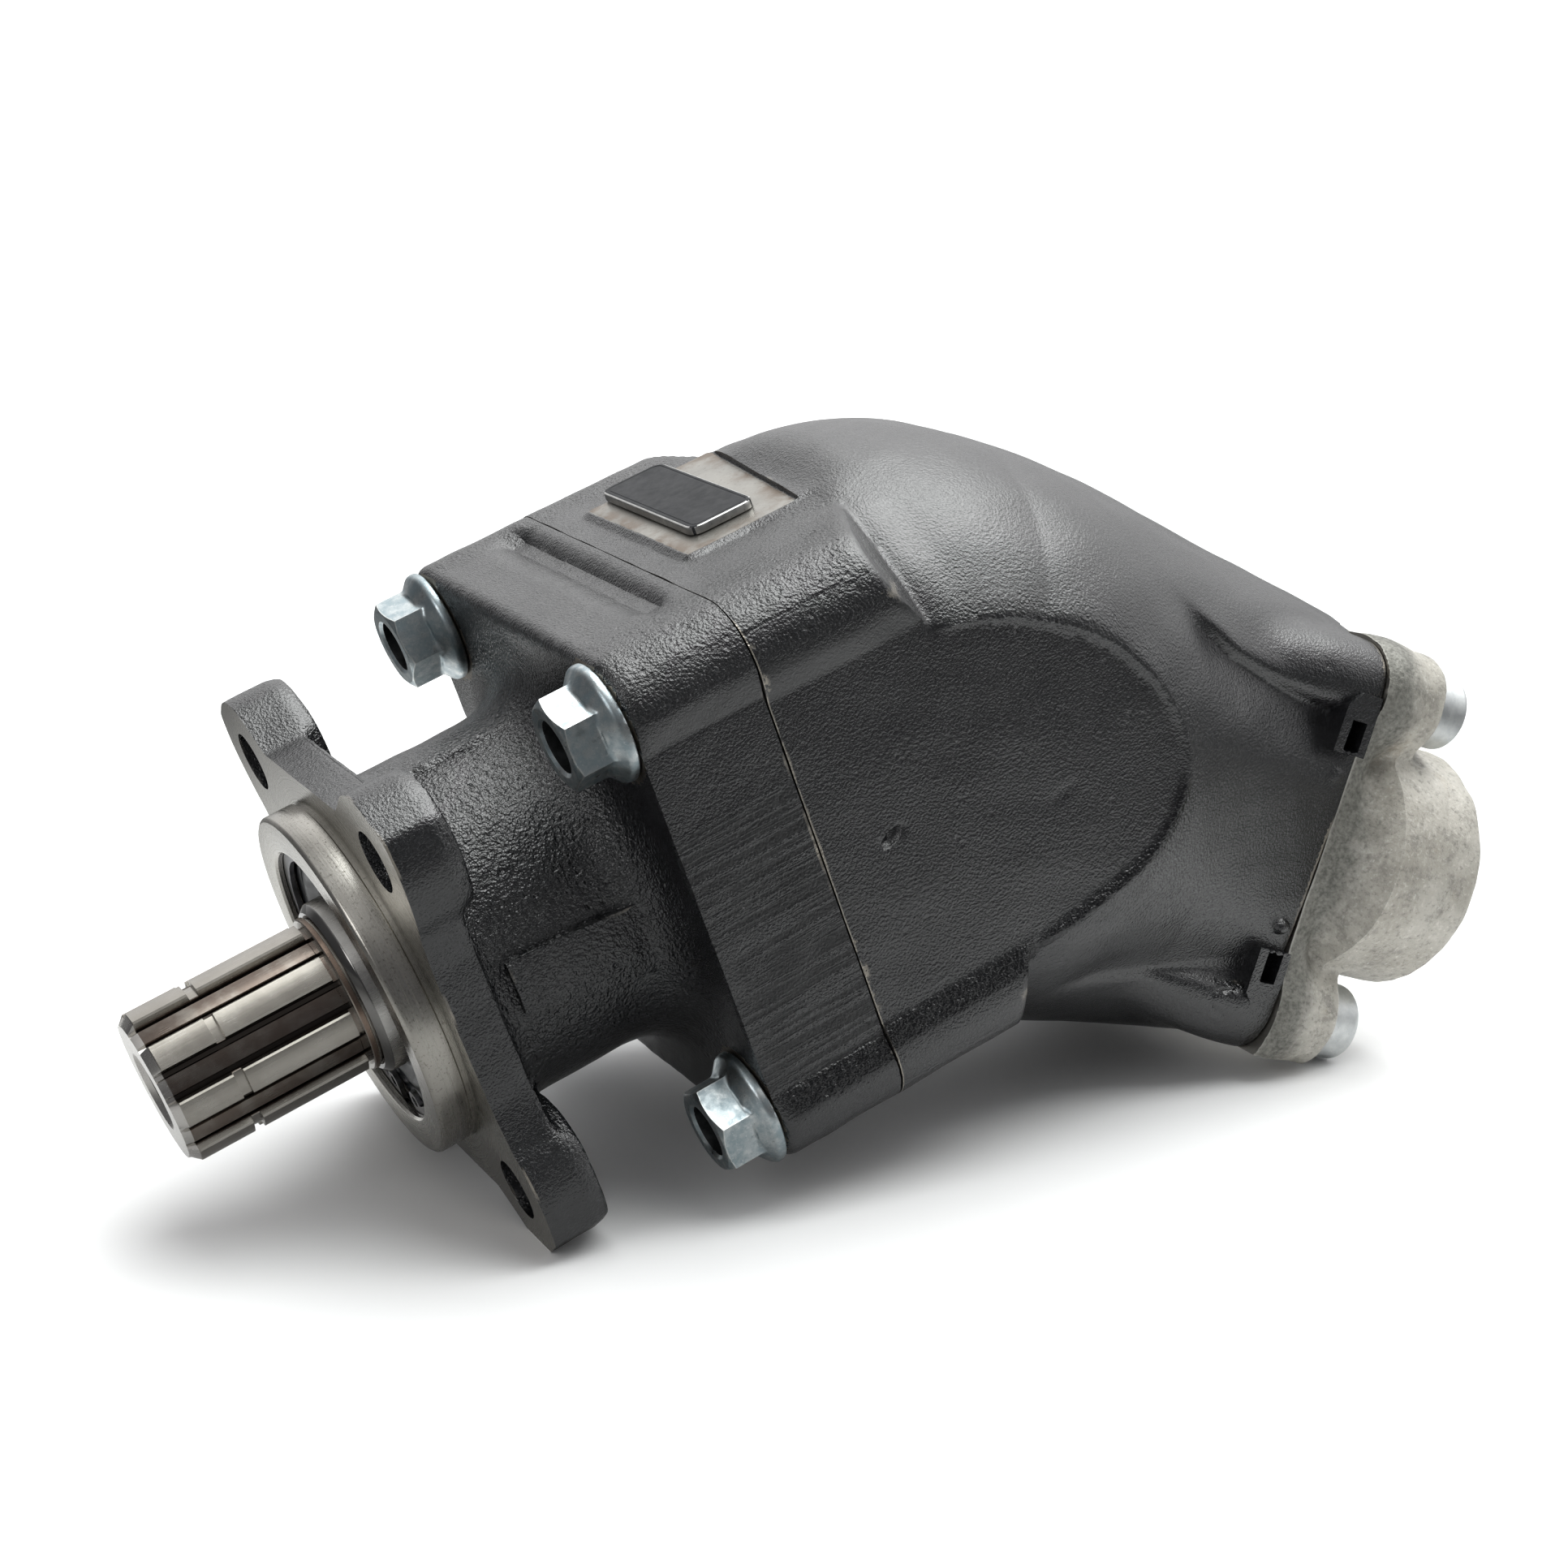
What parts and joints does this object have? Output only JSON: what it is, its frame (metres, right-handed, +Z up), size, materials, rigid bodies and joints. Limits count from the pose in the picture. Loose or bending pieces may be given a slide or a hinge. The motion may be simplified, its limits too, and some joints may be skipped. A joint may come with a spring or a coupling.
{
  "type": "axial piston pump",
  "caption": "Bent-axis axial piston pump: square mounting flange with spigot, splined drive shaft, black cast elbow housing and bare end cap with suction and pressure ports.",
  "frame": {"origin": "middle of the bounding box's bottom face, on the ground the pump stands on", "axes": "+Z up, +X from the splined shaft end to the end cap, +Y to the pressure port side; the drive shaft dips 19 degrees towards the splined end"},
  "size_m": [0.313, 0.12, 0.1561],
  "materials": {
    "black_paint": "semi-gloss black paint over a rough casting, bare at the machined faces",
    "bare_cast": "bare, grey-beige speckled casting",
    "zinc_steel": "bright zinc plate",
    "plate_dark": "dark plate with a worn bright edge",
    "rubber": "black seal rubber",
    "spring_steel": "dark oiled spring steel",
    "bronze": "lapped bronze",
    "machined_steel": "turned and ground steel",
    "bearing_steel": "ground bearing steel"
  },
  "bodies": {
    "housing": {"barrel_housing": "black_paint", "bearing_housing": "black_paint", "cap_o_ring": "rubber", "cap_screw_1": "zinc_steel", "cap_screw_2": "zinc_steel", "cap_screw_3": "zinc_steel", "cap_screw_4": "zinc_steel", "end_cap": "bare_cast", "front_bearing_outer_race": "bearing_steel", "housing_bolt_1": "zinc_steel", "housing_bolt_2": "zinc_steel", "housing_bolt_3": "zinc_steel", "housing_bolt_4": "zinc_steel", "housing_o_ring": "rubber", "name_plate": "plate_dark", "rear_bearing_outer_race": "bearing_steel", "seal_circlip": "spring_steel", "shaft_seal": "rubber", "valve_plate": "bronze", "valve_plate_pin": "bearing_steel"},
    "shaft": {"drive_shaft": "machined_steel", "front_bearing_inner_race": "bearing_steel", "rear_bearing_inner_race": "bearing_steel", "bearing_spacer": "machined_steel", "ball_retainer": "bearing_steel"},
    "front_rollers": {"front_bearing_roller_cage": "bearing_steel"},
    "rear_rollers": {"rear_bearing_roller_cage": "bearing_steel"},
    "barrel": {"cylinder_barrel": "machined_steel", "centre_pin": "machined_steel", "barrel_spring": "spring_steel", "spring_seat": "bearing_steel"},
    "piston_body_1": {"piston_1": "bearing_steel"},
    "piston_body_2": {"piston_2": "bearing_steel"},
    "piston_body_3": {"piston_3": "bearing_steel"},
    "piston_body_4": {"piston_4": "bearing_steel"},
    "piston_body_5": {"piston_5": "bearing_steel"},
    "piston_body_6": {"piston_6": "bearing_steel"},
    "piston_body_7": {"piston_7": "bearing_steel"}
  },
  "joints": [
    {"name": "shaft_spin", "type": "hinge", "parent": "housing", "child": "shaft", "pos_m": [-0.10068, 0, 0.05049], "axis": [0.9454, 0, 0.3258], "continuous": true},
    {"name": "barrel_spin", "type": "hinge", "parent": "housing", "child": "barrel", "pos_m": [0.01561, 0, 0.09057], "axis": [0.9337, 0, -0.3581], "continuous": true},
    {"name": "front_cage_spin", "type": "hinge", "parent": "housing", "child": "front_rollers", "pos_m": [-0.07893, 0, 0.05799], "axis": [0.9454, 0, 0.3258], "continuous": true},
    {"name": "rear_cage_spin", "type": "hinge", "parent": "housing", "child": "rear_rollers", "pos_m": [-0.03639, 0, 0.07265], "axis": [0.9454, 0, 0.3258], "continuous": true},
    {"name": "piston_1_ball", "type": "hinge", "parent": "shaft", "child": "piston_body_1", "pos_m": [0.00714, 0, 0.11515], "axis": [0.9454, 0, 0.3258], "continuous": true},
    {"name": "piston_2_ball", "type": "hinge", "parent": "shaft", "child": "piston_body_2", "pos_m": [0.01033, 0.02033, 0.1059], "axis": [0.9454, 0, 0.3258], "continuous": true},
    {"name": "piston_3_ball", "type": "hinge", "parent": "shaft", "child": "piston_body_3", "pos_m": [0.01749, 0.02535, 0.0851], "axis": [0.9454, 0, 0.3258], "continuous": true},
    {"name": "piston_4_ball", "type": "hinge", "parent": "shaft", "child": "piston_body_4", "pos_m": [0.02324, 0.01128, 0.06843], "axis": [0.9454, 0, 0.3258], "continuous": true},
    {"name": "piston_5_ball", "type": "hinge", "parent": "shaft", "child": "piston_body_5", "pos_m": [0.02324, -0.01128, 0.06843], "axis": [0.9454, 0, 0.3258], "continuous": true},
    {"name": "piston_6_ball", "type": "hinge", "parent": "shaft", "child": "piston_body_6", "pos_m": [0.01749, -0.02535, 0.0851], "axis": [0.9454, 0, 0.3258], "continuous": true},
    {"name": "piston_7_ball", "type": "hinge", "parent": "shaft", "child": "piston_body_7", "pos_m": [0.01033, -0.02033, 0.1059], "axis": [0.9454, 0, 0.3258], "continuous": true}
  ],
  "couplings": [
    {"joint": "barrel_spin", "follows": "shaft_spin", "ratio": 1},
    {"joint": "front_cage_spin", "follows": "shaft_spin", "ratio": 0.467},
    {"joint": "rear_cage_spin", "follows": "shaft_spin", "ratio": 0.447},
    {"joint": "piston_1_ball", "follows": "shaft_spin", "ratio": -1},
    {"joint": "piston_2_ball", "follows": "shaft_spin", "ratio": -1},
    {"joint": "piston_3_ball", "follows": "shaft_spin", "ratio": -1},
    {"joint": "piston_4_ball", "follows": "shaft_spin", "ratio": -1},
    {"joint": "piston_5_ball", "follows": "shaft_spin", "ratio": -1},
    {"joint": "piston_6_ball", "follows": "shaft_spin", "ratio": -1},
    {"joint": "piston_7_ball", "follows": "shaft_spin", "ratio": -1}
  ]
}
